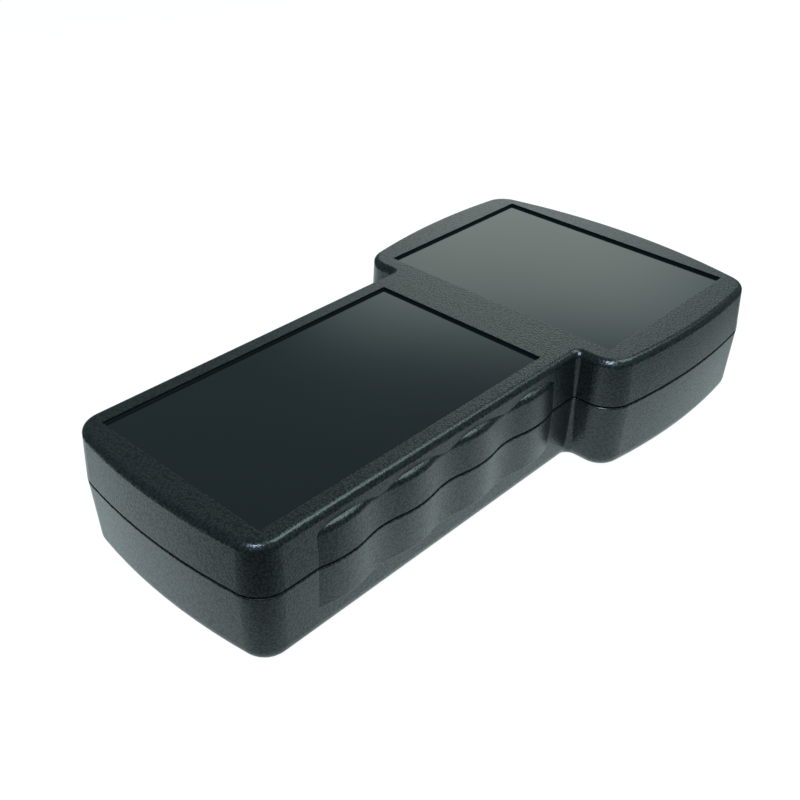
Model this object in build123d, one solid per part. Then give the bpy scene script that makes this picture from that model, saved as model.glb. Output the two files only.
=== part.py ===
"""Hand-held instrument housing: a wide display head on a finger-grip handle, moulded as two shells.

Millimetres. The origin is under the middle of the case on its rest face, +Y runs from the handle
to the display head and +Z is up. The case is symmetric about X = 0.
"""

import os
from math import sqrt

from build123d import *

# ---- plan of the case at the parting plane
LENGTH = 235.0  # crown to crown
HANDLE_WIDTH = 85.0
HEAD_WIDTH = 124.0  # across the widest part of the head
HEAD_LENGTH = 92.8  # shoulders to the far crown
HEAD_WIDEST = 45.0  # far crown to the widest part of the head
END_CROWN_RADIUS = 222.0
HEAD_SIDE_RADIUS = 232.0
HANDLE_CORNER_RADIUS = 9.9
HEAD_CORNER_RADIUS = 10.5
NECK_RADIUS = 1.0

# ---- shells
TOP_HEIGHT = 17.2
BASE_HEIGHT = 26.8
TOP_DRAFT = 2.9  # degrees
BASE_DRAFT = 3.2  # degrees
TOP_EDGE_RADIUS = 1.9
BASE_EDGE_RADIUS = 5.2
WALL = 2.5
GROOVE_WIDTH = 0.7  # of the shadow groove left between the shells
GROOVE_DEPTH = 0.85
LIP_HEIGHT = 1.6
LIP_THICKNESS = 1.0
LIP_SETBACK = 0.15  # of the lip's inner face from the base's inner wall
LIP_CLEARANCE = 0.12

# ---- finger grips along both sides of the handle
GRIP_COUNT = 4
GRIP_NEAR_MARGIN = 35.1  # near crown to the first crest
GRIP_FAR_MARGIN = 22.5  # last crest to the shoulders
GRIP_HEIGHT = 1.68  # of a crest beyond the handle's side
GRIP_VALLEY = 0.04  # of a valley beyond the handle's side
GRIP_CREST_SHARE = 0.557  # of the wave's length that its crest arcs take, the rest being valley arcs
GRIP_ROOT = 2.0  # depth of the grip block's ends inside the handle's side
GRIP_RISE = 12.7  # above the parting plane
GRIP_DROP = 16.3  # below the parting plane
GRIP_SHOULDER_RADIUS = 2.7  # at the top of the grips
GRIP_FOOT_RADIUS = 0.5  # at the bottom of the grips

# ---- panel recesses in the top face
RECESS_DEPTH = 1.0
RECESS_CORNER_RADIUS = 0.4
KEYPAD_SIDE_RIM = 6.95
KEYPAD_NEAR_RIM = 10.5  # near crown to the keypad recess
PANEL_BRIDGE = 19.35  # between the two recesses
DISPLAY_SIDE_RIM = 12.65  # from the widest part of the head
DISPLAY_NEAR_RIM = 7.9  # shoulders to the display recess
DISPLAY_FAR_RIM = 11.7  # far crown to the display recess

# ---- case screws and their bosses
SCREW_DIAMETER = 2.9
SCREW_LENGTH = 18.0
SCREW_HEAD_DIAMETER = 5.6
SCREW_HEAD_HEIGHT = 2.1
SCREW_HEAD_BEVEL = 0.7
DRIVE_WIDTH = 0.9
DRIVE_SPAN = 3.0
DRIVE_DEPTH = 1.1
FORMED_THREAD_FIT = 0.05  # round a shank in the hole that it has cut
SHANK_CLEARANCE = 0.3
COUNTERBORE_CLEARANCE = 0.45
SCREW_SEAT_HEIGHT = 14.0  # rest face to the seats of the screw heads
BOSS_WALL = 1.9
PILOT_TIP_ROOM = 2.0
GUSSET_THICKNESS = 1.6
GUSSET_SETBACK = 5.0  # of a gusset's edge from the parting plane
HANDLE_SCREW_INSET = 11.5  # from the handle's side
HANDLE_SCREW_MARGIN = 12.8  # from the near crown
HEAD_SCREW_INSET = 12.3  # from the widest part of the head
HEAD_SCREW_FAR_MARGIN = 19.5  # from the far crown
HEAD_SCREW_NEAR_MARGIN = 20.8  # from the shoulders

# ---- circuit board posts
POST_DIAMETER = 5.6
POST_HOLE_DIAMETER = 2.2
POST_HOLE_DEPTH = 5.0
MAIN_POST_HEIGHT = 9.0
MAIN_POST_SIDE_INSET = 25.0  # from the widest part of the head
MAIN_POST_FAR_MARGIN = 26.0  # from the far crown
MAIN_POST_NEAR_MARGIN = 12.8  # from the shoulders
PANEL_POST_HEIGHT = 6.5
DISPLAY_POST_INSET = 7.2  # from the edges of the display recess
KEYPAD_POST_INSET = 14.0  # from the edges of the keypad recess

# ---- stiffening ribs
RIB_THICKNESS = 1.5
RIB_HEIGHT = 4.0
HEAD_RIB_COUNT = 3
HEAD_RIB_PITCH = 14.0
HEAD_RIB_FAR_MARGIN = 38.0  # far crown to the first rib

# ---- battery bay in the underside of the handle
CELL_DIAMETER = 14.5
CELL_LENGTH = 50.5
CELL_COUNT = 4
CELL_GAP = 0.5
CONTACT_ROOM = 3.5  # at each end of the cells
BAY_HEADROOM = 1.5
BAY_WALL = 2.0
BAY_MARGIN = 30.0  # near crown to the bay
DOOR_THICKNESS = 2.2
DOOR_LEDGE = 1.4
DOOR_GAP = 0.2
DOOR_CORNER_RADIUS = 3.0
DOOR_SCREW_LAND = 10.0
SEAT_THICKNESS = 2.0
SEAT_BORDER = 2.2
HOOK_WIDTH = 9.0
HOOK_THICKNESS = 1.6
HOOK_REACH = 3.2
HOOK_SPACING = 34.0
HOOK_CLEARANCE = 0.15
DOOR_SCREW_LENGTH = 8.0
DOOR_SCREW_HEAD_DIAMETER = 5.4
DOOR_SCREW_SINK = 0.15
DOOR_SCREW_FIT = 0.04
DOOR_BOSS_CAP = 1.5

# ---- places worked out from the sizes above
HEIGHT = TOP_HEIGHT + BASE_HEIGHT
NEAR = -LENGTH / 2
FAR = LENGTH / 2
HANDLE_SIDE = HANDLE_WIDTH / 2
HEAD_SIDE = HEAD_WIDTH / 2
SHOULDER = FAR - HEAD_LENGTH
LIP_OUTER_INSET = WALL - LIP_SETBACK - LIP_THICKNESS
BOTH_SIDES = (-1, 1)
GRIP_FIRST = NEAR + GRIP_NEAR_MARGIN
GRIP_PITCH = (SHOULDER - GRIP_FAR_MARGIN - GRIP_FIRST) / (GRIP_COUNT - 1)
GRIP_CRESTS = [GRIP_FIRST + i * GRIP_PITCH for i in range(GRIP_COUNT)]

DISPLAY_SIDE = HEAD_SIDE - DISPLAY_SIDE_RIM
DISPLAY_NEAR = SHOULDER + DISPLAY_NEAR_RIM
DISPLAY_FAR = FAR - DISPLAY_FAR_RIM
KEYPAD_SIDE = HANDLE_SIDE - KEYPAD_SIDE_RIM
KEYPAD_NEAR = NEAR + KEYPAD_NEAR_RIM
KEYPAD_FAR = DISPLAY_NEAR - PANEL_BRIDGE

SCREW_RADIUS = SCREW_DIAMETER / 2
PILOT_RADIUS = SCREW_RADIUS + FORMED_THREAD_FIT
COUNTERBORE_RADIUS = SCREW_HEAD_DIAMETER / 2 + COUNTERBORE_CLEARANCE
BASE_BOSS_RADIUS = COUNTERBORE_RADIUS + BOSS_WALL
PILOT_BOSS_RADIUS = PILOT_RADIUS + BOSS_WALL
SCREW_TIP_HEIGHT = SCREW_SEAT_HEIGHT + SCREW_LENGTH
SCREW_ROWS = [
    (HANDLE_SIDE - HANDLE_SCREW_INSET, NEAR + HANDLE_SCREW_MARGIN),
    (HEAD_SIDE - HEAD_SCREW_INSET, SHOULDER + HEAD_SCREW_NEAR_MARGIN),
    (HEAD_SIDE - HEAD_SCREW_INSET, FAR - HEAD_SCREW_FAR_MARGIN),
]
CASE_SCREWS = [(side * x, y) for x, y in SCREW_ROWS for side in BOTH_SIDES]

MAIN_POSTS = [
    (side * (HEAD_SIDE - MAIN_POST_SIDE_INSET), y)
    for y in (SHOULDER + MAIN_POST_NEAR_MARGIN, FAR - MAIN_POST_FAR_MARGIN)
    for side in BOTH_SIDES
]
DISPLAY_POSTS = [
    (side * (DISPLAY_SIDE - DISPLAY_POST_INSET), y)
    for y in (DISPLAY_NEAR + DISPLAY_POST_INSET, DISPLAY_FAR - DISPLAY_POST_INSET)
    for side in BOTH_SIDES
]
KEYPAD_POSTS = [
    (side * (KEYPAD_SIDE - KEYPAD_POST_INSET), y)
    for y in (KEYPAD_NEAR + KEYPAD_POST_INSET, KEYPAD_FAR - KEYPAD_POST_INSET)
    for side in BOTH_SIDES
]

BAY_SIDE = CELL_COUNT * (CELL_DIAMETER + CELL_GAP) / 2
BAY_NEAR = NEAR + BAY_MARGIN
BAY_FAR = BAY_NEAR + CELL_LENGTH + 2 * CONTACT_ROOM
BAY_TOP = DOOR_THICKNESS + CELL_DIAMETER + BAY_HEADROOM
DOOR_SIDE = BAY_SIDE + DOOR_LEDGE
DOOR_NEAR = BAY_NEAR - DOOR_LEDGE
DOOR_FAR = BAY_FAR + DOOR_SCREW_LAND
DOOR_SCREW_PLACE = (0, (BAY_FAR + BAY_WALL + DOOR_FAR) / 2)
SEAT_TOP = DOOR_THICKNESS + SEAT_THICKNESS
HOOK_LOW = SEAT_TOP + HOOK_CLEARANCE
HOOK_HIGH = HOOK_LOW + HOOK_THICKNESS


# ---- small helpers
def block(x, y, z):
    """Box between the two ends given along each axis."""
    size = (x[1] - x[0], y[1] - y[0], z[1] - z[0])
    return Pos((x[0] + x[1]) / 2, (y[0] + y[1]) / 2, (z[0] + z[1]) / 2) * Box(*size)


def column(place, radius, low, high):
    """Upright round bar from height low to height high."""
    return Pos(place[0], place[1], (low + high) / 2) * Cylinder(radius, high - low)


def funnel(place, low_radius, high_radius, low, high):
    """Upright cone frustum from height low to height high."""
    return Pos(place[0], place[1], (low + high) / 2) * Cone(low_radius, high_radius, high - low)


def rounded_block(x, y, z, radius):
    """Box between the two ends given along each axis, with its upright corners rounded."""
    box = block(x, y, z)
    return fillet(box.edges().filter_by(Axis.Z), radius)


def pointing_down(half):
    """Turn a half that rises from the parting plane so that it hangs below that plane."""
    return Rot(0, 180, 0) * half


# ---- outside form, shared by the shells, their cavities and the lip between them
def rounded_plan(plan, radius):
    """Plan with its outer corners rounded as tangent arcs; a negative radius rounds its inner corners."""
    return offset(offset(plan, -radius, kind=Kind.INTERSECTION), radius, kind=Kind.ARC)


def case_plan(inset):
    """Outline of the case at the parting plane, moved in by inset."""
    handle = Rectangle(HANDLE_WIDTH - 2 * inset, LENGTH)
    handle &= Pos(0, NEAR + END_CROWN_RADIUS) * Circle(END_CROWN_RADIUS - inset)
    handle -= Pos(0, FAR) * Rectangle(HEAD_WIDTH, HEAD_LENGTH)
    head_length = HEAD_LENGTH - inset
    head = Pos(0, FAR - head_length / 2) * Rectangle(HEAD_WIDTH, head_length)
    head &= Pos(0, FAR - END_CROWN_RADIUS) * Circle(END_CROWN_RADIUS - inset)
    for side in BOTH_SIDES:
        side_centre = side * (HEAD_SIDE - HEAD_SIDE_RADIUS)
        head &= Pos(side_centre, FAR - HEAD_WIDEST) * Circle(HEAD_SIDE_RADIUS - inset)
    handle = rounded_plan(handle, HANDLE_CORNER_RADIUS - inset)
    plan = (handle + rounded_plan(head, HEAD_CORNER_RADIUS - inset)).clean()
    return rounded_plan(plan, -NECK_RADIUS - inset)


def case_half(inset, height, draft):
    """Drafted half of the case's form, moved in by inset, rising from the parting plane at Z = 0."""
    return extrude(case_plan(inset), amount=height, taper=draft)


def rounded_half(height, draft, edge_radius):
    """Drafted half of the case's outside with its far edge rounded."""
    half = case_half(0, height, draft)
    return fillet(half.edges().group_by(Axis.Z)[-1], edge_radius)


def grip_side(inset):
    """Wavy side of the grips on +X, from near to far: tangent crest and valley arcs, moved in by inset."""
    wave = GRIP_HEIGHT - GRIP_VALLEY
    half_pitch = GRIP_PITCH / 2
    radii_sum = (half_pitch**2 + wave**2) / (2 * wave)
    crest_radius = radii_sum * GRIP_CREST_SHARE - inset
    crest_x = HANDLE_SIDE + GRIP_HEIGHT - inset
    valley_x = HANDLE_SIDE + GRIP_VALLEY - inset
    joint_dy = crest_radius * half_pitch / radii_sum
    joint_x = crest_x - crest_radius + sqrt(crest_radius**2 - joint_dy**2)
    end_x = HANDLE_SIDE - GRIP_ROOT - inset
    end_dy = sqrt(crest_radius**2 - (end_x - crest_x + crest_radius) ** 2)
    start = (end_x, GRIP_CRESTS[0] - end_dy)
    arcs = []
    for crest_y in GRIP_CRESTS[:-1]:
        finish = (joint_x, crest_y + joint_dy)
        next_start = (joint_x, crest_y + GRIP_PITCH - joint_dy)
        arcs.append(ThreePointArc(start, (crest_x, crest_y), finish))
        arcs.append(ThreePointArc(finish, (valley_x, crest_y + half_pitch), next_start))
        start = next_start
    arcs.append(ThreePointArc(start, (crest_x, GRIP_CRESTS[-1]), (end_x, GRIP_CRESTS[-1] + end_dy)))
    return Wire(arcs)


def grip_block(inset, height, draft, edge_radius=0.0):
    """Drafted block across the handle that carries the grips of both sides, rising from Z = 0."""
    right = grip_side(inset)
    left = mirror(right, about=Plane.YZ)
    ends = [Line(left @ end, right @ end) for end in (0, 1)]
    grips = extrude(make_face([right, left] + ends), amount=height, taper=draft)
    if edge_radius > 0:
        wavy_edges = grips.edges().group_by(Axis.Z)[-1].filter_by(GeomType.CIRCLE)
        grips = fillet(wavy_edges, edge_radius)
    return grips


def outer_top():
    """Outside form of the top shell, rising from the parting plane."""
    form = rounded_half(TOP_HEIGHT, TOP_DRAFT, TOP_EDGE_RADIUS)
    return form + grip_block(0, GRIP_RISE, TOP_DRAFT, GRIP_SHOULDER_RADIUS)


def outer_base():
    """Outside form of the base shell, rising from the parting plane as it is turned over later."""
    form = rounded_half(BASE_HEIGHT, BASE_DRAFT, BASE_EDGE_RADIUS)
    form += grip_block(0, GRIP_DROP, BASE_DRAFT, GRIP_FOOT_RADIUS)
    rim = block((-HEAD_WIDTH, HEAD_WIDTH), (-LENGTH, LENGTH), (0, GROOVE_WIDTH))
    return form - (rim - hollow(GROOVE_DEPTH, GROOVE_WIDTH, BASE_DRAFT, GROOVE_WIDTH))


def hollow(inset, height, draft, grip_height, bevel=0.0):
    """Form of a cavity that follows the outside at a wall of inset, rising from the parting plane."""
    half = case_half(inset, height, draft)
    if bevel > 0:
        half = chamfer(half.edges().group_by(Axis.Z)[-1], bevel)
    return half + grip_block(inset, grip_height, draft)


# ---- screws
def drive_cross(place, low):
    """Cross recess that a screwdriver enters from below."""
    cross = Box(DRIVE_SPAN, DRIVE_WIDTH, DRIVE_DEPTH) + Box(DRIVE_WIDTH, DRIVE_SPAN, DRIVE_DEPTH)
    return Pos(place[0], place[1], low + DRIVE_DEPTH / 2) * cross


def case_screw(place):
    """Pan-head screw driven up through the base into a boss of the top shell."""
    head_low = SCREW_SEAT_HEIGHT - SCREW_HEAD_HEIGHT
    head = column(place, SCREW_HEAD_DIAMETER / 2, head_low, SCREW_SEAT_HEIGHT)
    head = chamfer(head.edges().group_by(Axis.Z)[0], SCREW_HEAD_BEVEL)
    screw = head + column(place, SCREW_RADIUS, SCREW_SEAT_HEIGHT, SCREW_TIP_HEIGHT)
    return screw - drive_cross(place, head_low)


def door_screw():
    """Countersunk screw that holds the far end of the battery door."""
    head_radius = DOOR_SCREW_HEAD_DIAMETER / 2
    head_high = DOOR_SCREW_SINK + head_radius - SCREW_RADIUS
    head = funnel(DOOR_SCREW_PLACE, head_radius, SCREW_RADIUS, DOOR_SCREW_SINK, head_high)
    screw = head + column(DOOR_SCREW_PLACE, SCREW_RADIUS, head_high, DOOR_SCREW_LENGTH)
    return screw - drive_cross(DOOR_SCREW_PLACE, DOOR_SCREW_SINK)


# ---- top shell
def panel_recess(side, near, far):
    """Shallow recess in the top face for a stuck-on panel."""
    return rounded_block((-side, side), (near, far), (HEIGHT - RECESS_DEPTH, HEIGHT), RECESS_CORNER_RADIUS)


def panel_pad(side, near, far):
    """Lowered skin inside the top shell that keeps the full wall under a recess."""
    skin_low = HEIGHT - RECESS_DEPTH - WALL
    return block((-side - WALL, side + WALL), (near - WALL, far + WALL), (skin_low, HEIGHT - RECESS_DEPTH))


def gussets(places, low, high):
    """Webs that tie each boss to the side wall beside it."""
    webs = Part()
    for x, y in places:
        wall_x = HEAD_SIDE if x > 0 else -HEAD_SIDE
        half = GUSSET_THICKNESS / 2
        webs += block(sorted((x, wall_x)), (y - half, y + half), (low, high))
    return webs


def top_shell():
    """Upper shell: recessed panels, screw bosses, board posts and the rebate for the base's lip."""
    form = Pos(0, 0, BASE_HEIGHT) * outer_top()
    cavity = Pos(0, 0, BASE_HEIGHT) * hollow(WALL, TOP_HEIGHT - WALL, TOP_DRAFT, GRIP_RISE - WALL)
    skin_low = HEIGHT - RECESS_DEPTH - WALL
    skin_mid = HEIGHT - RECESS_DEPTH
    inside = panel_pad(KEYPAD_SIDE, KEYPAD_NEAR, KEYPAD_FAR)
    inside += panel_pad(DISPLAY_SIDE, DISPLAY_NEAR, DISPLAY_FAR)
    inside += [column(place, PILOT_BOSS_RADIUS, BASE_HEIGHT, skin_mid) for place in CASE_SCREWS]
    inside += gussets(CASE_SCREWS, BASE_HEIGHT + GUSSET_SETBACK, skin_mid)
    post_low = skin_low - PANEL_POST_HEIGHT
    panel_posts = DISPLAY_POSTS + KEYPAD_POSTS
    inside += [column(place, POST_DIAMETER / 2, post_low, skin_mid) for place in panel_posts]
    bridge_y = DISPLAY_NEAR - PANEL_BRIDGE / 2
    half = RIB_THICKNESS / 2
    rib_low = skin_low - RIB_HEIGHT
    inside += block((-HANDLE_SIDE, HANDLE_SIDE), (bridge_y - half, bridge_y + half), (rib_low, skin_mid))
    rebate_height = LIP_HEIGHT + LIP_CLEARANCE
    rebate = hollow(LIP_OUTER_INSET - LIP_CLEARANCE, rebate_height, TOP_DRAFT, rebate_height)
    shell = form - cavity - Pos(0, 0, BASE_HEIGHT) * rebate + (inside & form)
    shell -= panel_recess(KEYPAD_SIDE, KEYPAD_NEAR, KEYPAD_FAR)
    shell -= panel_recess(DISPLAY_SIDE, DISPLAY_NEAR, DISPLAY_FAR)
    pilot_high = SCREW_TIP_HEIGHT + PILOT_TIP_ROOM
    shell -= [column(place, PILOT_RADIUS, BASE_HEIGHT, pilot_high) for place in CASE_SCREWS]
    hole_high = post_low + POST_HOLE_DEPTH
    shell -= [column(place, POST_HOLE_DIAMETER / 2, post_low, hole_high) for place in panel_posts]
    return shell


# ---- base shell
def alignment_lip():
    """Lip that stands on the base's wall and enters the top shell's rebate."""
    lip = hollow(LIP_OUTER_INSET, LIP_HEIGHT, TOP_DRAFT, LIP_HEIGHT)
    lip -= hollow(WALL - LIP_SETBACK, LIP_HEIGHT, TOP_DRAFT, LIP_HEIGHT)
    return Pos(0, 0, BASE_HEIGHT) * lip


def hook_places():
    """Middles of the door's two hooks across the case."""
    return [side * HOOK_SPACING / 2 for side in BOTH_SIDES]


def battery_frame():
    """Walls and ceiling of the battery bay, with the border that the door seats on."""
    wall_side = BAY_SIDE + BAY_WALL
    frame = block((-wall_side, wall_side), (BAY_NEAR - BAY_WALL, BAY_FAR + BAY_WALL), (0, BAY_TOP + BAY_WALL))
    border = SEAT_BORDER + DOOR_GAP
    seat_side = DOOR_SIDE + border
    frame += block((-seat_side, seat_side), (DOOR_NEAR - border, DOOR_FAR + border), (0, SEAT_TOP))
    boss_high = DOOR_SCREW_LENGTH + PILOT_TIP_ROOM + DOOR_BOSS_CAP
    return frame + column(DOOR_SCREW_PLACE, PILOT_BOSS_RADIUS, 0, boss_high)


def battery_space():
    """Everything cut from the battery frame: the cells' space, the door, its hooks and its screw."""
    space = block((-BAY_SIDE, BAY_SIDE), (BAY_NEAR, BAY_FAR), (0, BAY_TOP))
    space += rounded_block(
        (-DOOR_SIDE - DOOR_GAP, DOOR_SIDE + DOOR_GAP),
        (DOOR_NEAR - DOOR_GAP, DOOR_FAR + DOOR_GAP),
        (0, DOOR_THICKNESS),
        DOOR_CORNER_RADIUS + DOOR_GAP,
    )
    half = HOOK_WIDTH / 2 + HOOK_CLEARANCE
    for x in hook_places():
        window_y = (BAY_NEAR - BAY_WALL, BAY_NEAR)
        space += block((x - half, x + half), window_y, (SEAT_TOP, HOOK_HIGH + HOOK_CLEARANCE))
    return space + column(DOOR_SCREW_PLACE, PILOT_RADIUS, 0, DOOR_SCREW_LENGTH + PILOT_TIP_ROOM)


def head_ribs():
    """Cross ribs on the floor of the head."""
    half = RIB_THICKNESS / 2
    first = FAR - HEAD_RIB_FAR_MARGIN
    middles = [first - i * HEAD_RIB_PITCH for i in range(HEAD_RIB_COUNT)]
    return [block((-HEAD_SIDE, HEAD_SIDE), (y - half, y + half), (0, WALL + RIB_HEIGHT)) for y in middles]


def base_shell():
    """Lower shell: screw bosses, board posts, ribs, the battery bay and the alignment lip."""
    form = Pos(0, 0, BASE_HEIGHT) * pointing_down(outer_base())
    cavity_height = BASE_HEIGHT - WALL
    inner_bevel = (BASE_EDGE_RADIUS - WALL) * (2 - sqrt(2))  # keeps the full wall behind the rounded edge
    cavity = hollow(WALL, cavity_height, BASE_DRAFT, GRIP_DROP - WALL, inner_bevel)
    cavity = Pos(0, 0, BASE_HEIGHT) * pointing_down(cavity)
    post_high = WALL + MAIN_POST_HEIGHT
    inside = battery_frame()
    inside += [column(place, BASE_BOSS_RADIUS, 0, BASE_HEIGHT) for place in CASE_SCREWS]
    inside += gussets(CASE_SCREWS, 0, BASE_HEIGHT - GUSSET_SETBACK)
    inside += [column(place, POST_DIAMETER / 2, 0, post_high) for place in MAIN_POSTS]
    inside += head_ribs()
    shell = form - cavity + (inside & form) + alignment_lip()
    shell -= battery_space()
    shell -= [column(place, COUNTERBORE_RADIUS, 0, SCREW_SEAT_HEIGHT) for place in CASE_SCREWS]
    hole_radius = SCREW_RADIUS + SHANK_CLEARANCE
    shell -= [column(place, hole_radius, SCREW_SEAT_HEIGHT, BASE_HEIGHT) for place in CASE_SCREWS]
    hole_low = post_high - POST_HOLE_DEPTH
    shell -= [column(place, POST_HOLE_DIAMETER / 2, hole_low, post_high) for place in MAIN_POSTS]
    return shell


def battery_door():
    """Flush door of the battery bay: two hooks at its near end and a countersunk hole at its far end."""
    plate = (0, DOOR_THICKNESS)
    door = rounded_block((-DOOR_SIDE, DOOR_SIDE), (DOOR_NEAR, DOOR_FAR), plate, DOOR_CORNER_RADIUS)
    riser_y = (BAY_NEAR + HOOK_CLEARANCE, BAY_NEAR + HOOK_CLEARANCE + HOOK_THICKNESS)
    for x in hook_places():
        hook_x = (x - HOOK_WIDTH / 2, x + HOOK_WIDTH / 2)
        door += block(hook_x, riser_y, (DOOR_THICKNESS, HOOK_HIGH))
        door += block(hook_x, (BAY_NEAR - HOOK_REACH, riser_y[1]), (HOOK_LOW, HOOK_HIGH))
    hole_radius = SCREW_RADIUS + SHANK_CLEARANCE
    sink_radius = DOOR_SCREW_HEAD_DIAMETER / 2 + DOOR_SCREW_SINK + DOOR_SCREW_FIT
    door -= column(DOOR_SCREW_PLACE, hole_radius, *plate)
    return door - funnel(DOOR_SCREW_PLACE, sink_radius, hole_radius, 0, sink_radius - hole_radius)


PARTS = {
    "top_shell": top_shell(),
    "base_shell": base_shell(),
    "battery_door": battery_door(),
    "door_screw": door_screw(),
    "case_screws": Compound([case_screw(place) for place in CASE_SCREWS]),
}

os.makedirs("parts", exist_ok=True)
for node, shape in PARTS.items():
    export_step(shape, f"parts/{node}.step")
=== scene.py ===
"""Looks, light and camera of a hand-held instrument housing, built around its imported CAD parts.

The CAD parts keep their shapes and places. Everything is in metres in the row's frame: +Y runs from
the handle to the display head, +Z is up and the case rests on Z = 0.
"""

import logging
import math
from dataclasses import dataclass, field
from enum import Enum
from typing import Any, Iterable

import bmesh
import bpy
from mathutils import Matrix, Vector


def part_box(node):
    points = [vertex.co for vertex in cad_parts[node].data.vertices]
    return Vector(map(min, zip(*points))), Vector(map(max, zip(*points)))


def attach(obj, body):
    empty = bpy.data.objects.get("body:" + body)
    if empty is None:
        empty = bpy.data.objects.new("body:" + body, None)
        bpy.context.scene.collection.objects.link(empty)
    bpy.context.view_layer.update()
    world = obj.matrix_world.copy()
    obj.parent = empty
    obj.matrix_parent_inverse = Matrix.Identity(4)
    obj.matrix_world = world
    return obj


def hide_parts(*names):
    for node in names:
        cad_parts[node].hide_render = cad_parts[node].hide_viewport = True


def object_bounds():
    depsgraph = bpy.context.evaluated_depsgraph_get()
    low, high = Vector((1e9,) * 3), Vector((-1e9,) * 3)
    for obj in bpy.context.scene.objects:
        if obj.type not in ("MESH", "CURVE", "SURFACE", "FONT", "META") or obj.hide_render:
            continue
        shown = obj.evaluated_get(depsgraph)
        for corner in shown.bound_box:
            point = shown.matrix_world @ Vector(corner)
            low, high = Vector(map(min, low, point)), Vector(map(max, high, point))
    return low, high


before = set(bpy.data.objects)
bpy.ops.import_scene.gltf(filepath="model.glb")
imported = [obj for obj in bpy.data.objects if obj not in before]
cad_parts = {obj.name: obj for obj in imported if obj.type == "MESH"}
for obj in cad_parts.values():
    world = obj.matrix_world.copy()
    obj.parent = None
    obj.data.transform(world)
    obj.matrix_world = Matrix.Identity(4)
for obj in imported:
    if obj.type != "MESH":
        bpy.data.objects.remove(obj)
CAD_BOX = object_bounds()

log = logging.getLogger("housing")
Pair = tuple[float, float]
Triple = tuple[float, float, float]
Colour = Triple

MM = 0.001
WHITE: Colour = (1.0, 1.0, 1.0)
UPWARD = 0.99  # least Z of an upward face's normal
SAME_REGION = MM / 10  # greatest gap along Y between faces of one region


# ---------------------------------------------------------------- helpers
def toward(azimuth: float, elevation: float) -> Vector:
    """Unit vector from the case to a point round it.

    Args:
        azimuth: degrees from the handle's end of the case, first to its right side.
        elevation: degrees above the table.

    Returns:
        The unit vector.
    """
    turn, lift = math.radians(azimuth), math.radians(elevation)
    flat = math.cos(lift)
    return Vector((math.sin(turn) * flat, -math.cos(turn) * flat, math.sin(lift)))


def add_object(name: str, data: bpy.types.ID) -> bpy.types.Object:
    """Put a new object into the scene.

    Args:
        name: the object's name.
        data: the mesh, light or camera that it holds.

    Returns:
        The object.
    """
    made = bpy.data.objects.new(name, data)
    bpy.context.scene.collection.objects.link(made)
    return made


# ---------------------------------------------------------------- node trees
class Sock:
    """Output socket of a node tree, with arithmetic that adds Math and Vector Math nodes."""

    def __init__(self, tree: "Tree", socket: bpy.types.NodeSocket) -> None:
        """Wrap one output socket.

        Args:
            tree: the tree that the socket belongs to.
            socket: the output socket.
        """
        self.tree = tree
        self.socket = socket

    @property
    def is_vector(self) -> bool:
        """Whether the socket carries three numbers."""
        return self.socket.type in ("VECTOR", "RGBA")

    def _with(self, operation: str, *others: "Value") -> "Sock":
        """Result of a Math or Vector Math node on this socket and the other operands."""
        return self.tree.maths(operation, self, *others)

    def __add__(self, other: "Value") -> "Sock":
        """Sum."""
        return self._with("ADD", other)

    def __radd__(self, other: "Value") -> "Sock":
        """Sum with a number on the left."""
        return self._with("ADD", other)

    def __sub__(self, other: "Value") -> "Sock":
        """Difference."""
        return self._with("SUBTRACT", other)

    def __rsub__(self, other: "Value") -> "Sock":
        """Difference with a number on the left."""
        return self.tree.maths("SUBTRACT", other, self)

    def __mul__(self, other: "Value") -> "Sock":
        """Product."""
        return self._with("MULTIPLY", other)

    def __rmul__(self, other: "Value") -> "Sock":
        """Product with a number on the left."""
        return self._with("MULTIPLY", other)

    def __truediv__(self, other: "Value") -> "Sock":
        """Quotient."""
        return self._with("DIVIDE", other)

    def __rtruediv__(self, other: "Value") -> "Sock":
        """Quotient with a number on the left."""
        return self.tree.maths("DIVIDE", other, self)

    def __abs__(self) -> "Sock":
        """Absolute value."""
        return self._with("ABSOLUTE")

    def __lt__(self, other: "Value") -> "Sock":
        """One where this is less than the other operand."""
        return self._with("LESS_THAN", other)

    def __gt__(self, other: "Value") -> "Sock":
        """One where this is greater than the other operand."""
        return self._with("GREATER_THAN", other)


Value = Sock | float | Colour


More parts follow.
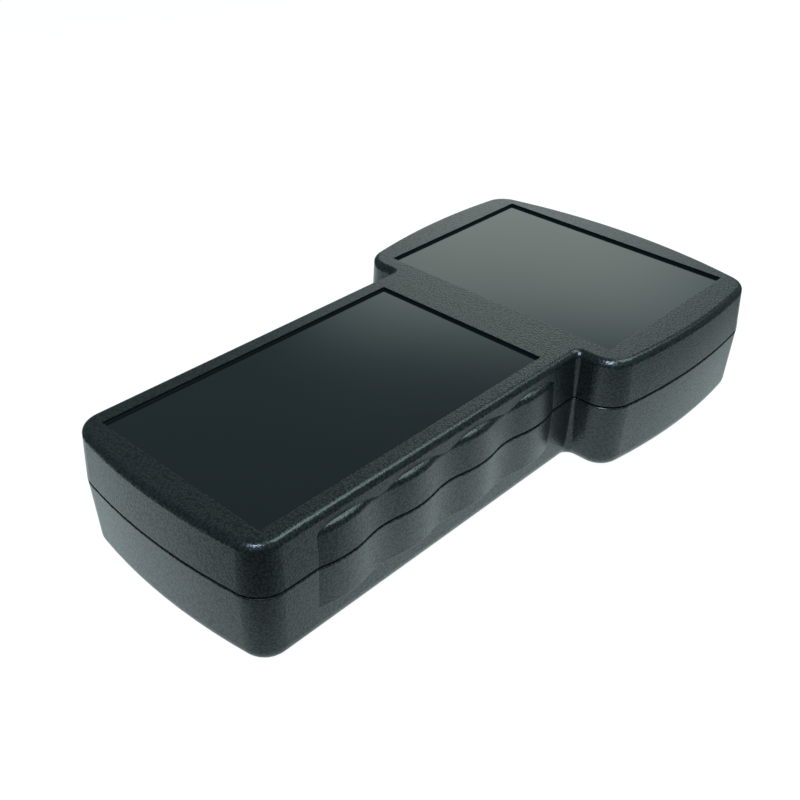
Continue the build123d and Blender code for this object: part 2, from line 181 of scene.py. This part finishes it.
class Tree:
    """Node tree with one method that adds any node."""

    def __init__(self, tree: bpy.types.NodeTree) -> None:
        """Empty a node tree for building.

        Args:
            tree: the tree of a material or world, or a Geometry Nodes tree.
        """
        self.tree = tree
        self.tree.nodes.clear()

    def node(
        self, kind: str, settings: dict[str, Any] | None = None, **values: "Value | list[Sock]"
    ) -> bpy.types.Node:
        """Add one node.

        Args:
            kind: the node's type, which may leave out a ShaderNode prefix.
            settings: attributes that are set before the sockets.
            values: links or values by socket, named in lower case with _ for a space, or inN for
                the socket of index N.

        Returns:
            The node.
        """
        made = self.tree.nodes.new(kind if "Node" in kind else "ShaderNode" + kind)
        for name, value in (settings or {}).items():
            setattr(made, name, value)
        by_name = {s.name.lower().replace(" ", "_"): s for s in reversed(made.inputs) if s.enabled}
        for name, value in values.items():
            numbered = name[:2] == "in" and name[2:].isdigit()
            self.feed(made.inputs[int(name[2:])] if numbered else by_name[name], value)
        return made

    def feed(self, socket: bpy.types.NodeSocket, value: "Value | list[Sock]") -> None:
        """Link a socket to another or to several, or set its value.

        Args:
            socket: the input socket.
            value: what it gets.
        """
        if isinstance(value, list):
            for one in value:
                self.feed(socket, one)
        elif isinstance(value, Sock):
            self.tree.links.new(value.socket, socket)
        elif socket.type == "RGBA" and len(value) == 3:
            socket.default_value = (*value, 1.0)
        else:
            socket.default_value = value

    def out(
        self,
        kind: str,
        output: int | str = 0,
        settings: dict[str, Any] | None = None,
        **values: "Value | list[Sock]",
    ) -> Sock:
        """Add one node and wrap one of its outputs.

        Args:
            kind: the node's type, which may leave out a ShaderNode prefix.
            output: the output's index or name.
            settings: attributes that are set before the sockets.
            values: links or values by socket.

        Returns:
            The wrapped output.
        """
        return Sock(self, self.node(kind, settings, **values).outputs[output])

    def maths(self, operation: str, *operands: Value) -> Sock:
        """Math node on numbers, or Vector Math node where an operand is a vector or colour.

        Args:
            operation: the node's operation.
            operands: sockets, numbers or vectors; beside a vector, a number stands for all three.

        Returns:
            The result.
        """
        vector = any(
            operand.is_vector if isinstance(operand, Sock) else isinstance(operand, tuple)
            for operand in operands
        )
        kind = "VectorMath" if vector else "Math"
        output = 1 if operation in ("DOT_PRODUCT", "DISTANCE") else 0
        sockets = {}
        for index, operand in enumerate(operands):
            plain = vector and isinstance(operand, (int, float))
            sockets[f"in{index}"] = (operand,) * 3 if plain else operand
        return self.out(kind, output, {"operation": operation}, **sockets)

    def limited(
        self, value: Sock, low: float, high: float, to_low: float = 0.0, to_high: float = 1.0
    ) -> Sock:
        """Smooth step of a value.

        Args:
            value: the value.
            low: start of the step.
            high: end of the step.
            to_low: result before the step.
            to_high: result after the step.

        Returns:
            The result.
        """
        return self.out(
            "MapRange",
            0,
            {"interpolation_type": "SMOOTHSTEP"},
            value=value,
            from_min=low,
            from_max=high,
            to_min=to_low,
            to_max=to_high,
        )

    def mixed(self, share: Value, first: Value, second: Value) -> Sock:
        """Mix of two colours, by the share of the second."""
        return self.out("Mix", 2, {"data_type": "RGBA"}, in0=share, in6=first, in7=second)

    def parts(self, vector: Sock) -> list[Sock]:
        """X, Y and Z of a vector."""
        made = self.node("SeparateXYZ", vector=vector)
        return [Sock(self, output) for output in made.outputs]


def new_material(name: str) -> tuple[bpy.types.Material, Tree]:
    """Make an empty node material.

    Args:
        name: the material's name.

    Returns:
        The material and its tree.
    """
    material = bpy.data.materials.new(name)
    material.use_nodes = True
    return material, Tree(material.node_tree)


# ---------------------------------------------------------------- places read from the frame
@dataclass(frozen=True)
class Rectangle:
    """Rectangle in plan.

    Attributes:
        low: its least X and Y.
        high: its greatest X and Y.
    """

    low: Pair
    high: Pair

    def mask(self, tree: Tree, x: Sock, y: Sock, margin: float, blur: float) -> Sock:
        """One inside the rectangle and nought outside it.

        Args:
            tree: the tree that the mask is built in.
            x: the surface point's X.
            y: the surface point's Y.
            margin: how far outside the rectangle the mask's middle lies.
            blur: width of the mask's soft edge.

        Returns:
            The mask.
        """
        middle = [(a + b) / 2 for a, b in zip(self.low, self.high)]
        half = [(b - a) / 2 for a, b in zip(self.low, self.high)]
        beyond_x = abs(x - middle[0]) - (half[0] + margin)
        beyond_y = abs(y - middle[1]) - (half[1] + margin)
        beyond = tree.maths("MAXIMUM", beyond_x, beyond_y)
        return tree.limited(beyond, -blur / 2, blur / 2, 1.0, 0.0)


def flat_regions(node: bpy.types.Object, low: float, high: float) -> list[Rectangle]:
    """Rectangles round the flat upward faces of a CAD part between two heights, near ones first.

    Args:
        node: the CAD part.
        low: lowest height of the faces.
        high: greatest height of the faces.

    Returns:
        One rectangle for each group of faces that meet along Y.
    """
    corners = []
    for polygon in node.data.polygons:
        if polygon.normal.z > UPWARD and low < polygon.center.z < high:
            points = [node.data.vertices[i].co for i in polygon.vertices]
            corners.append([end(p[axis] for p in points) for axis in (0, 1) for end in (min, max)])
    corners.sort(key=lambda corner: corner[2])
    groups: list[list[float]] = []
    for x_low, x_high, y_low, y_high in corners:
        if groups and y_low <= groups[-1][3] + SAME_REGION:
            last = groups[-1]
            groups[-1] = [min(last[0], x_low), max(last[1], x_high), last[2], max(last[3], y_high)]
        else:
            groups.append([x_low, x_high, y_low, y_high])
    return [Rectangle((g[0], g[2]), (g[1], g[3])) for g in groups]


# ---------------------------------------------------------------- finishes
@dataclass(frozen=True)
class ShellPlastic:
    """Black moulded plastic: spark-eroded grain outside, polished panel recesses.

    The grain is made of round pebbles that catch more light than the valleys between them. Their
    tops are coloured lighter and the valleys darker, as painted light and shade over the grain.

    Attributes:
        grain_colour: colour of the valleys, darkened as painted shade.
        lit_pebble_colour: colour of the pebbles' tops, lightened as painted light.
        pebble_coat: weight of the coat on the pebbles' tops, which is their extra gloss.
        floor_colour: colour of the polished recesses.
        grain_size: spacing of the pebbles.
        grain_height: height of the pebbles.
        grain_roughness: roughness of the grain, and of its coat.
        grain_drift: slow change of the grain's roughness.
        fine_size: spacing of the noise that roughens the pebbles' outlines.
        fine_share: strength of that noise.
        pebble_range: distances from a pebble's middle, in spacings, where its slope down starts
            and ends.
        floor_roughness: roughness of the polished recesses.
        floor_drift: slow change of the recesses' roughness.
        drift_scale: how many of the slow changes fit into a metre.
        recess_margin: how far outside a recess its polish ends.
        recess_blur: width over which the polish ends.
        edge_fade: depths under the top face between which the walls ease into the top edge.
        edge_depth: how far the walls seem to draw back there.
        groove_width: height of the groove between the shells.
        groove_fade: height of the strip that eases into the groove's lower edge.
        groove_depth: how far that strip seems to draw back.
        index: index of refraction.
    """

    # Painted shade in the valleys and painted light on the pebbles' tops, over one plastic.
    grain_colour: Colour = (0.0008, 0.0014, 0.0016)
    lit_pebble_colour: Colour = (0.0070, 0.0100, 0.0105)
    pebble_coat: float = 0.26
    floor_colour: Colour = (0.0035, 0.0052, 0.0058)
    grain_size: float = 0.75 * MM
    grain_height: float = 0.034 * MM
    grain_roughness: float = 0.31
    grain_drift: float = 0.06
    fine_size: float = 0.42 * MM
    fine_share: float = 0.3
    pebble_range: Pair = (0.20, 0.74)
    floor_roughness: float = 0.12
    floor_drift: float = 0.04
    drift_scale: float = 28.0
    recess_margin: float = 0.05 * MM
    recess_blur: float = 0.04 * MM
    edge_fade: Pair = (2.8 * MM, 0.8 * MM)
    edge_depth: float = 0.50 * MM
    groove_width: float = 0.7 * MM
    groove_fade: float = 0.7 * MM
    groove_depth: float = 0.40 * MM
    index: float = 1.495

    def build(
        self, recesses: Iterable[Rectangle], floor_height: float, top: float, parting: float
    ) -> bpy.types.Material:
        """Make the material.

        Args:
            recesses: the recesses whose floors and walls are polished.
            floor_height: height below which nothing is polished.
            top: height of the top face.
            parting: height of the top shell's lower edge, above the groove.

        Returns:
            The material.
        """
        material, tree = new_material("grained_plastic")
        place = tree.out("TexCoord", "Object")
        x, y, z = tree.parts(place)
        inside = None
        for recess in recesses:
            mask = recess.mask(tree, x, y, self.recess_margin, self.recess_blur)
            inside = mask if inside is None else inside + mask
        smooth = inside * (z > floor_height)
        grainy = 1 - smooth

        pebbles = self._pebbles(tree, place)
        relief = pebbles * grainy * self.grain_height - self._easing(tree, z, top, parting)
        drift = tree.out(
            "TexNoise", vector=place, scale=self.drift_scale, detail=3.0, roughness=0.5
        )
        rough_grain = self.grain_roughness + (drift - 0.5) * self.grain_drift
        rough_floor = self.floor_roughness + (drift - 0.5) * self.floor_drift
        # Painted light and shade: the pebbles' tops are coloured lighter and the valleys darker.
        grain = tree.mixed(pebbles, self.grain_colour, self.lit_pebble_colour)
        shader = tree.out(
            "BsdfPrincipled",
            base_color=tree.mixed(smooth, grain, self.floor_colour),
            roughness=rough_grain * grainy + smooth * rough_floor,
            ior=self.index,
            normal=tree.out("Bump", height=relief, distance=1.0, strength=1.0),
            coat_weight=pebbles * grainy * self.pebble_coat,
            coat_roughness=self.grain_roughness,
            coat_ior=self.index,
        )
        tree.node("OutputMaterial", surface=shader)
        return material

    def _pebbles(self, tree: Tree, place: Sock) -> Sock:
        """One on the pebbles' tops and nought in the valleys.

        Args:
            tree: the tree that the mask is built in.
            place: the surface point.

        Returns:
            The mask.
        """
        away = tree.out("TexVoronoi", "Distance", vector=place, scale=1 / self.grain_size)
        fine = tree.out(
            "TexNoise", vector=place, scale=1 / self.fine_size, detail=1.0, roughness=0.5
        )
        return tree.limited(away + (fine - 0.5) * self.fine_share, *self.pebble_range, 1.0, 0.0)

    def _easing(self, tree: Tree, z: Sock, top: float, parting: float) -> Sock:
        """Depth that the walls seem to draw back by at the top edge and under the groove.

        Args:
            tree: the tree that the depth is built in.
            z: the surface point's height.
            top: height of the top face.
            parting: height of the top shell's lower edge.

        Returns:
            The depth.
        """
        low, high = (top - depth for depth in self.edge_fade)
        edge = tree.limited(z, low, high) * self.edge_depth
        lip = parting - self.groove_width
        # Only the ramp's lower half is on the wall, as the lip lies at its middle.
        ramp = tree.limited(z, lip - self.groove_fade, lip + self.groove_fade)
        return edge + ramp * (z < parting) * (2 * self.groove_depth)


@dataclass(frozen=True)
class BlackZinc:
    """Black-passivated zinc on the screws.

    Attributes:
        colour: darkest colour.
        lift: how many times lighter the lightest colour is.
        roughness: middle roughness.
        roughness_range: change of roughness from grain to grain.
        grain_size: spacing of the grain.
        grain_height: height of the grain.
    """

    colour: Colour = (0.045, 0.047, 0.05)
    lift: float = 1.8
    roughness: float = 0.34
    roughness_range: float = 0.2
    grain_size: float = 0.25 * MM
    grain_height: float = 0.004 * MM

    def build(self) -> bpy.types.Material:
        """Make the material.

        Returns:
            The material.
        """
        material, tree = new_material("black_zinc")
        place = tree.out("TexCoord", "Object")
        grain = tree.out("TexNoise", vector=place, scale=1 / self.grain_size, detail=3.0)
        light = tuple(part * self.lift for part in self.colour)
        shader = tree.out(
            "BsdfPrincipled",
            base_color=tree.mixed(grain, self.colour, light),
            metallic=1.0,
            roughness=self.roughness + (grain - 0.5) * self.roughness_range,
            normal=tree.out("Bump", height=grain, distance=self.grain_height, strength=1.0),
        )
        tree.node("OutputMaterial", surface=shader)
        return material


# ---------------------------------------------------------------- screws
class HeadForm(Enum):
    """Form of a screw's head."""

    PAN = "pan"
    COUNTERSUNK = "countersunk"


@dataclass(frozen=True)
class ScrewSize:
    """Sizes of a thread-forming screw that points up from the outer face of its head.

    Attributes:
        form: form of the head.
        head_radius: radius of the head.
        head_height: height of the head.
        length: length with the head.
        core_radius: radius of the shank inside the thread.
        thread_radius: radius of the thread's crest.
        ridge: radius of the three-sided ridge that is the thread.
        pitch: rise of the thread in one turn.
        drive_span: length of the cross's bars.
        drive_width: width of the cross's bars.
        drive_depth: depth of the cross.
        edge: radius of a pan head's rounded edge.
        rim: height of a countersunk head's upright rim.
        tip: length of the tapered tip.
        edge_steps: steps of the rounded edge.
    """

    form: HeadForm
    head_radius: float
    head_height: float
    length: float
    core_radius: float = 1.05 * MM
    thread_radius: float = 1.38 * MM
    ridge: float = 0.26 * MM
    pitch: float = 1.3 * MM
    drive_span: float = 3.2 * MM
    drive_width: float = 0.75 * MM
    drive_depth: float = 1.1 * MM
    edge: float = 0.75 * MM
    rim: float = 0.15 * MM
    tip: float = 1.6 * MM
    edge_steps: int = 5

    def outline(self) -> list[Pair]:
        """Half outline of the blank, from the middle of the head to the tip.

        Returns:
            Radius and height of each point.
        """
        if self.form is HeadForm.PAN:
            middle, edge = self.head_radius - self.edge, self.edge
            turns = [math.pi / 2 * step / self.edge_steps for step in range(self.edge_steps + 1)]
            head = [(middle + edge * math.sin(t), edge * (1 - math.cos(t))) for t in turns]
            head.append((self.head_radius, self.head_height))
        else:
            head = [(self.head_radius, 0.0), (self.head_radius, self.rim)]
        neck = (self.core_radius, self.head_height)
        shoulder = (self.core_radius, self.length - self.tip)
        end = (self.core_radius / 2, self.length)
        return [(0.0, 0.0), *head, neck, shoulder, end, (0.0, self.length)]

    def inputs(self) -> dict[str, float]:
        """Sizes that the Geometry Nodes tree takes.

        Returns:
            Each size by the name of its input.
        """
        return {
            "Thread Radius": self.thread_radius,
            "Ridge": self.ridge,
            "Pitch": self.pitch,
            "Thread Start": self.head_height + self.ridge,
            "Thread End": self.length - self.tip,
            "Drive Span": self.drive_span,
            "Drive Width": self.drive_width,
            "Drive Depth": self.drive_depth,
        }


class ScrewTree:
    """Geometry Nodes tree of a set of like screws.

    It cuts the drive into a blank, winds the blank's thread and sets a copy at each place.
    """

    SIZES = (
        "Thread Radius",
        "Ridge",
        "Pitch",
        "Thread Start",
        "Thread End",
        "Drive Span",
        "Drive Width",
        "Drive Depth",
    )
    TURN_SEED = 7
    STEPS_PER_TURN = 20
    RIDGE_SIDES = 3

    def __init__(self) -> None:
        """Build the tree."""
        self.group = bpy.data.node_groups.new("threaded_screws", "GeometryNodeTree")
        self._socket("Places", "Geometry")
        self._socket("Blank", "Object")
        for name in self.SIZES:
            self._socket(name, "Float")
        self._socket("Finish", "Material")
        self._socket("Screws", "Geometry", "OUTPUT")
        tree = Tree(self.group)
        given = {s.name: Sock(tree, s) for s in tree.node("NodeGroupInput").outputs if s.name}
        screw = [self._driven_blank(tree, given), self._thread(tree, given)]
        turn = tree.out("FunctionNodeRandomValue", 1, max=2 * math.pi, seed=self.TURN_SEED)
        placed = tree.out(
            "GeometryNodeInstanceOnPoints",
            points=given["Places"],
            instance=tree.out("GeometryNodeJoinGeometry", geometry=screw),
            rotation=tree.out("CombineXYZ", z=turn),
        )
        solid = tree.out("GeometryNodeRealizeInstances", geometry=placed)
        dressed = tree.out("GeometryNodeSetMaterial", geometry=solid, material=given["Finish"])
        tree.node("NodeGroupOutput", in0=dressed)

    def _socket(self, name: str, kind: str, way: str = "INPUT") -> None:
        """Add one named input or output to the tree."""
        self.group.interface.new_socket(name, in_out=way, socket_type="NodeSocket" + kind)

    @staticmethod
    def _driven_blank(tree: Tree, given: dict[str, Sock]) -> Sock:
        """Cut a cross into the middle of the blank's head.

        Args:
            tree: the Geometry Nodes tree.
            given: the tree's inputs by name.

        Returns:
            The driven blank.
        """
        blank = tree.out("GeometryNodeObjectInfo", "Geometry", object=given["Blank"])
        span, width, depth = (given["Drive " + name] for name in ("Span", "Width", "Depth"))
        deep = depth * 2  # A bar's middle lies in the head's outer face.
        plans = ((span, width), (width, span))
        sizes = [tree.out("CombineXYZ", x=x, y=y, z=deep) for x, y in plans]
        bars = [tree.out("GeometryNodeMeshCube", size=size) for size in sizes]
        settings = {"operation": "DIFFERENCE", "solver": "MANIFOLD"}
        return tree.out("GeometryNodeMeshBoolean", "Mesh", settings, in0=blank, in1=bars)

    def _thread(self, tree: Tree, given: dict[str, Sock]) -> Sock:
        """Wind a ridge up the shank.

        Args:
            tree: the Geometry Nodes tree.
            given: the tree's inputs by name.

        Returns:
            The ridge.
        """
        length = given["Thread End"] - given["Thread Start"]
        radius = given["Thread Radius"] - given["Ridge"]
        helix = tree.out(
            "GeometryNodeCurveSpiral",
            resolution=self.STEPS_PER_TURN,
            rotations=length / given["Pitch"],
            start_radius=radius,
            end_radius=radius,
            height=length,
        )
        start = tree.out("CombineXYZ", z=given["Thread Start"])
        helix = tree.out("GeometryNodeTransform", geometry=helix, translation=start)
        ridge = tree.out(
            "GeometryNodeCurvePrimitiveCircle",
            0,
            {"mode": "RADIUS"},
            resolution=self.RIDGE_SIDES,
            radius=given["Ridge"],
        )
        return tree.out("GeometryNodeCurveToMesh", curve=helix, profile_curve=ridge, fill_caps=True)

    def identifier(self, name: str) -> str:
        """Identifier of a named input."""
        items = self.group.interface.items_tree
        return next(item.identifier for item in items if item.name == name)


@dataclass
class ScrewSet:
    """Like screws that stand for one CAD part.

    Attributes:
        part: the CAD part.
        size: the screws' sizes.
        apart: least distance between two screws, in head radii.
        smooth_angle: angle up to which faces are shaded smooth.
        lathe_steps: steps of the turned blank.
        weld: distance within which the blank's points are merged.
    """

    part: str
    size: ScrewSize
    apart: float = 3.0
    smooth_angle: float = math.radians(40)
    lathe_steps: int = 32
    weld: float = MM / 1000

    def places(self) -> list[Vector]:
        """Find the screws' places in the CAD part.

        Returns:
            Middle of each screw's outer face.
        """
        low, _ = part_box(self.part)
        reach = self.apart * self.size.head_radius
        groups: list[list[Vector]] = []
        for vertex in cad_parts[self.part].data.vertices:
            flat = vertex.co.to_2d()
            near = (group for group in groups if (group[0] - flat).length < reach)
            group = next(near, None)
            if group is None:
                groups.append([flat])
            else:
                group.append(flat)
        middles = []
        for group in groups:
            xs, ys = [point.x for point in group], [point.y for point in group]
            middle = ((min(xs) + max(xs)) / 2, (min(ys) + max(ys)) / 2, low.z)
            middles.append(Vector(middle))
        return middles

    def blank(self) -> bpy.types.Object:
        """Turn a blank with a plain head and no thread.

        Returns:
            The blank.
        """
        shape = bmesh.new()
        points = [shape.verts.new((radius, 0.0, height)) for radius, height in self.size.outline()]
        edges = [shape.edges.new(pair) for pair in zip(points, points[1:])]
        bmesh.ops.spin(
            shape,
            geom=points + edges,
            axis=(0, 0, 1),
            cent=(0, 0, 0),
            angle=2 * math.pi,
            steps=self.lathe_steps,
        )
        bmesh.ops.remove_doubles(shape, verts=shape.verts[:], dist=self.weld)
        bmesh.ops.recalc_face_normals(shape, faces=shape.faces[:])
        mesh = bpy.data.meshes.new(self.part + "_blank")
        shape.to_mesh(mesh)
        shape.free()
        return add_object(mesh.name, mesh)

    def build(self, tree: ScrewTree, finish: bpy.types.Material) -> bpy.types.Object:
        """Make the screws and let them stand for their CAD part.

        Args:
            tree: the Geometry Nodes tree.
            finish: the screws' material.

        Returns:
            One mesh object with all the screws.
        """
        mesh = bpy.data.meshes.new(self.part + "_threaded")
        places = self.places()
        mesh.from_pydata([tuple(place) for place in places], [], [])
        piece = add_object(mesh.name, mesh)
        blank = self.blank()
        modifier = piece.modifiers.new("screws", "NODES")
        modifier.node_group = tree.group
        for name, value in {"Blank": blank, "Finish": finish, **self.size.inputs()}.items():
            modifier[tree.identifier(name)] = value
        graph = bpy.context.evaluated_depsgraph_get()
        piece.data = bpy.data.meshes.new_from_object(piece.evaluated_get(graph), depsgraph=graph)
        piece.data.name = piece.name
        piece.modifiers.clear()
        bpy.data.objects.remove(blank)
        self._dress(piece, finish)
        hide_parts(self.part)
        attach(piece, "root")
        log.info("%d screws, %d faces for %s", len(places), len(piece.data.polygons), self.part)
        return piece

    def _dress(self, piece: bpy.types.Object, finish: bpy.types.Material) -> None:
        """Give the screws their finish and their smooth shading.

        Args:
            piece: the screws.
            finish: their material.
        """
        mesh = piece.data
        mesh.materials.clear()
        mesh.materials.append(finish)
        mesh.polygons.foreach_set("material_index", [0] * len(mesh.polygons))
        mesh.shade_smooth()
        mesh.set_sharp_from_angle(angle=self.smooth_angle)


# ---------------------------------------------------------------- the object
@dataclass
class Case:
    """The moulded shells and battery door in their plastic, and the screws that hold them.

    Attributes:
        plastic: finish of the moulded parts.
        zinc: finish of the screws.
        moulded: the moulded CAD parts.
        screws: the sets of like screws.
        recess_search: depths under the top face between which the recesses' floors lie.
    """

    plastic: ShellPlastic = field(default_factory=ShellPlastic)
    zinc: BlackZinc = field(default_factory=BlackZinc)
    moulded: tuple[str, ...] = ("top_shell", "base_shell", "battery_door")
    screws: tuple[ScrewSet, ...] = (
        ScrewSet("case_screws", ScrewSize(HeadForm.PAN, 2.8 * MM, 2.1 * MM, 20.1 * MM)),
        ScrewSet("door_screw", ScrewSize(HeadForm.COUNTERSUNK, 2.7 * MM, 1.25 * MM, 7.85 * MM)),
    )
    recess_search: Pair = (0.6 * MM, 1.6 * MM)

    def dress(self) -> None:
        """Give each moulded CAD part its finish."""
        low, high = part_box("top_shell")
        shallow, deep = self.recess_search
        recesses = flat_regions(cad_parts["top_shell"], high.z - deep, high.z - shallow)
        log.info("panel recesses: %s", recesses)
        plastic = self.plastic.build(recesses, high.z - deep, high.z, low.z)
        for name in self.moulded:
            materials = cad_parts[name].data.materials
            materials.clear()
            materials.append(plastic)
            log.info("dressed %s", name)

    def fasten(self) -> None:
        """Put the threaded screws in."""
        zinc = self.zinc.build()
        tree = ScrewTree()
        for screws in self.screws:
            screws.build(tree, zinc)


# ---------------------------------------------------------------- studio
@dataclass
class Camera:
    """Camera that looks down on the case from its near right corner.

    Attributes:
        target: the point that it looks at.
        azimuth: degrees from the handle's end, first to the case's right side.
        elevation: degrees above the table.
        distance: distance from the target.
        roll: degrees of turn about its own line of sight.
        lens: focal length in millimetres.
        sensor: width of the sensor in millimetres.
        clip: nearest and farthest distance that it sees.
    """

    target: Triple = (0.01978, -0.03705, 0.0440)
    azimuth: float = 42.90
    elevation: float = 33.507
    distance: float = 0.32947
    roll: float = 0.579
    lens: float = 48.446
    sensor: float = 36.0
    clip: Pair = (0.01, 20.0)

    def build(self) -> bpy.types.Object:
        """Make the camera and make it the scene's.

        Returns:
            The camera.
        """
        data = bpy.data.cameras.new("camera")
        data.lens, data.sensor_width = self.lens, self.sensor
        data.clip_start, data.clip_end = self.clip
        camera = add_object("camera", data)
        back = toward(self.azimuth, self.elevation)
        turn = (-back).to_track_quat("-Z", "Y").to_matrix().to_4x4()
        place = Matrix.Translation(Vector(self.target) + back * self.distance)
        camera.matrix_world = place @ turn @ Matrix.Rotation(math.radians(self.roll), 4, "Z")
        bpy.context.scene.camera = camera
        log.info("camera")
        return camera


@dataclass(frozen=True)
class Lamp:
    """Rectangular soft light that faces the case.

    Attributes:
        name: the lamp's name.
        azimuth: degrees from the handle's end, first to the case's right side.
        elevation: degrees above the table.
        distance: distance from the middle of the case.
        size: width and height.
        radiance: brightness of its face.
        colour: colour of its light.
    """

    name: str
    azimuth: float
    elevation: float
    distance: float
    size: Pair
    radiance: float
    colour: Colour

    def build(self, middle: Vector) -> bpy.types.Object:
        """Make the lamp.

        Args:
            middle: the point that it faces.

        Returns:
            The lamp.
        """
        data = bpy.data.lights.new(self.name, "AREA")
        data.shape = "RECTANGLE"
        data.size, data.size_y = self.size
        data.energy = self.radiance * math.pi * self.size[0] * self.size[1]
        data.color = self.colour
        lamp = add_object(self.name, data)
        outward = toward(self.azimuth, self.elevation)
        lamp.location = middle + outward * self.distance
        lamp.rotation_euler = (-outward).to_track_quat("-Z", "Y").to_euler()
        log.info("lamp %s", self.name)
        return lamp


@dataclass
class Floor:
    """Pale floor that the camera sees white, with a faint shadow, and that is clear from below.

    What the case mirrors of it is a bright disc under the case that fades to a dim table round it.

    Attributes:
        size: length of its sides.
        sink: how far it lies under the case, so that the two faces don't coincide.
        colour: colour of its diffuse share, which takes the shadow.
        white: brightness that the camera sees.
        white_share: share of that brightness beside the diffuse share.
        glow: colour of the table that the case mirrors.
        glow_share: share of that table beside the diffuse share.
        glow_levels: brightness of the dim table and of the bright disc.
        disc_middle: middle of the disc, times the squash.
        disc_squash: factors on a place that make the disc an oval.
        disc_fade: squashed distances from the middle between which the disc fades.
        near_toward: direction in which the disc is cut off.
        near_fade: distances in that direction between which it is cut off.
    """

    size: float = 6.0
    sink: float = 0.1 * MM
    colour: Colour = (0.80, 0.80, 0.80)
    white: float = 1.06
    white_share: float = 0.9
    glow: Colour = (0.84, 1.0, 1.02)
    glow_share: float = 0.9
    glow_levels: Pair = (0.02, 1.06)
    disc_middle: Triple = (-0.048, 0.016, 0.0)
    disc_squash: Triple = (1.0, 0.80, 1.0)
    disc_fade: Pair = (0.106, 0.232)
    near_toward: Triple = (0.707, -0.707, 0.0)
    near_fade: Pair = (0.080, 0.162)

    def build(self, height: float) -> None:
        """Make the floor.

        Args:
            height: height that the case rests at.
        """
        half, z = self.size / 2, height - self.sink
        corners = [(x * half, y * half, z) for x, y in ((-1, -1), (1, -1), (1, 1), (-1, 1))]
        mesh = bpy.data.meshes.new("floor")
        mesh.from_pydata(corners, [], [(0, 1, 2, 3)])
        mesh.materials.append(self._finish())
        floor = add_object("floor", mesh)
        log.info("floor")

    def _finish(self) -> bpy.types.Material:
        """Make the floor's material.

        Returns:
            The material.
        """
        material, tree = new_material("pale_floor")
        pale = tree.out("BsdfDiffuse", color=self.colour)
        glow = tree.out("Emission", color=self.glow, strength=self._glow_level(tree))
        mirrored = tree.out("MixShader", fac=self.glow_share, in1=pale, in2=glow)
        white = tree.out("Emission", color=WHITE, strength=self.white)
        shown = tree.out("MixShader", fac=self.white_share, in1=pale, in2=white)
        seen = tree.out("LightPath", "Is Camera Ray")
        above = tree.out("MixShader", fac=seen, in1=mirrored, in2=shown)
        under = tree.out("NewGeometry", "Backfacing")
        below = tree.out("BsdfTransparent")
        surface = tree.out("MixShader", fac=under, in1=above, in2=below)
        tree.node("OutputMaterial", surface=surface)
        return material

    def _glow_level(self, tree: Tree) -> Sock:
        """Brightness of the table that the case mirrors.

        Args:
            tree: the tree of the floor's material.

        Returns:
            The brightness.
        """
        place = tree.out("TexCoord", "Object")
        away = tree.maths("DISTANCE", place * self.disc_squash, self.disc_middle)
        nearer = tree.maths("DOT_PRODUCT", place, self.near_toward)
        round_disc = tree.limited(away, *self.disc_fade, 1.0, 0.0)
        disc = round_disc * tree.limited(nearer, *self.near_fade, 1.0, 0.0)
        dim, bright = self.glow_levels
        return dim + disc * (bright - dim)


@dataclass
class Surround:
    """White to the camera; to the case, a dim room with a bright low window.

    Attributes:
        room_tint: colour of the room.
        window_tint: colour of the window.
        room: brightness of the room.
        window: brightness of the window.
        window_toward: level direction of the window, beyond the far left corner.
        window_spread: cosines of the level angles at which the window starts and is full.
        window_top: sines of the elevations between which the window ends.
    """

    room_tint: Colour = (0.72, 1.0, 1.08)
    window_tint: Colour = (0.88, 1.0, 0.95)
    room: float = 0.25
    window: float = 1.60
    window_toward: Triple = (-0.586, 0.810, 0.0)
    window_spread: Pair = (0.961, 0.999)
    window_top: Pair = (0.448, 0.535)

    def build(self) -> None:
        """Make the surround."""
        world = bpy.data.worlds.new("surround")
        world.use_nodes = True
        bpy.context.scene.world = world
        tree = Tree(world.node_tree)
        sight = tree.out("TexCoord", "Generated")
        heading = tree.maths("NORMALIZE", sight * (1.0, 1.0, 0.0))
        aside = tree.maths("DOT_PRODUCT", heading, self.window_toward)
        low = tree.limited(tree.parts(sight)[2], *self.window_top, 1.0, 0.0)
        window = tree.limited(aside, *self.window_spread) * low
        level = self.room + window * (self.window - self.room)
        tint = tree.mixed(window, self.room_tint, self.window_tint)
        room = tree.out("Background", color=tint, strength=level)
        white = tree.out("Background", color=WHITE, strength=1.0)
        seen = tree.out("LightPath", "Is Camera Ray")
        surface = tree.out("MixShader", fac=seen, in1=room, in2=white)
        tree.node("OutputWorld", surface=surface)
        log.info("surround")


@dataclass
class Studio:
    """Floor, surround and lamps."""

    floor: Floor = field(default_factory=Floor)
    surround: Surround = field(default_factory=Surround)
    lamps: tuple[Lamp, ...] = (
        Lamp("rear_right", 126.0, 56.0, 1.1, (0.76, 0.56), 5.2, (0.74, 1.0, 0.93)),
        Lamp("rear_high", 180.0, 57.0, 1.1, (0.60, 0.20), 1.7, (0.86, 1.0, 0.97)),
        Lamp("front_high", 35.0, 48.0, 1.3, (0.28, 0.14), 124.0, (0.62, 0.80, 1.0)),
    )

    def build(self) -> None:
        """Make the floor, the surround and the lamps."""
        low, high = CAD_BOX
        self.floor.build(low.z)
        self.surround.build()
        for lamp in self.lamps:
            lamp.build((low + high) / 2)


def main() -> None:
    """Build the looks in order: the case, the studio and the camera."""
    logging.basicConfig(level=logging.INFO)
    bpy.context.scene.view_settings.view_transform = "Standard"
    case = Case()
    case.dress()
    case.fasten()
    Studio().build()
    Camera().build()


if __name__ == "__main__":
    main()
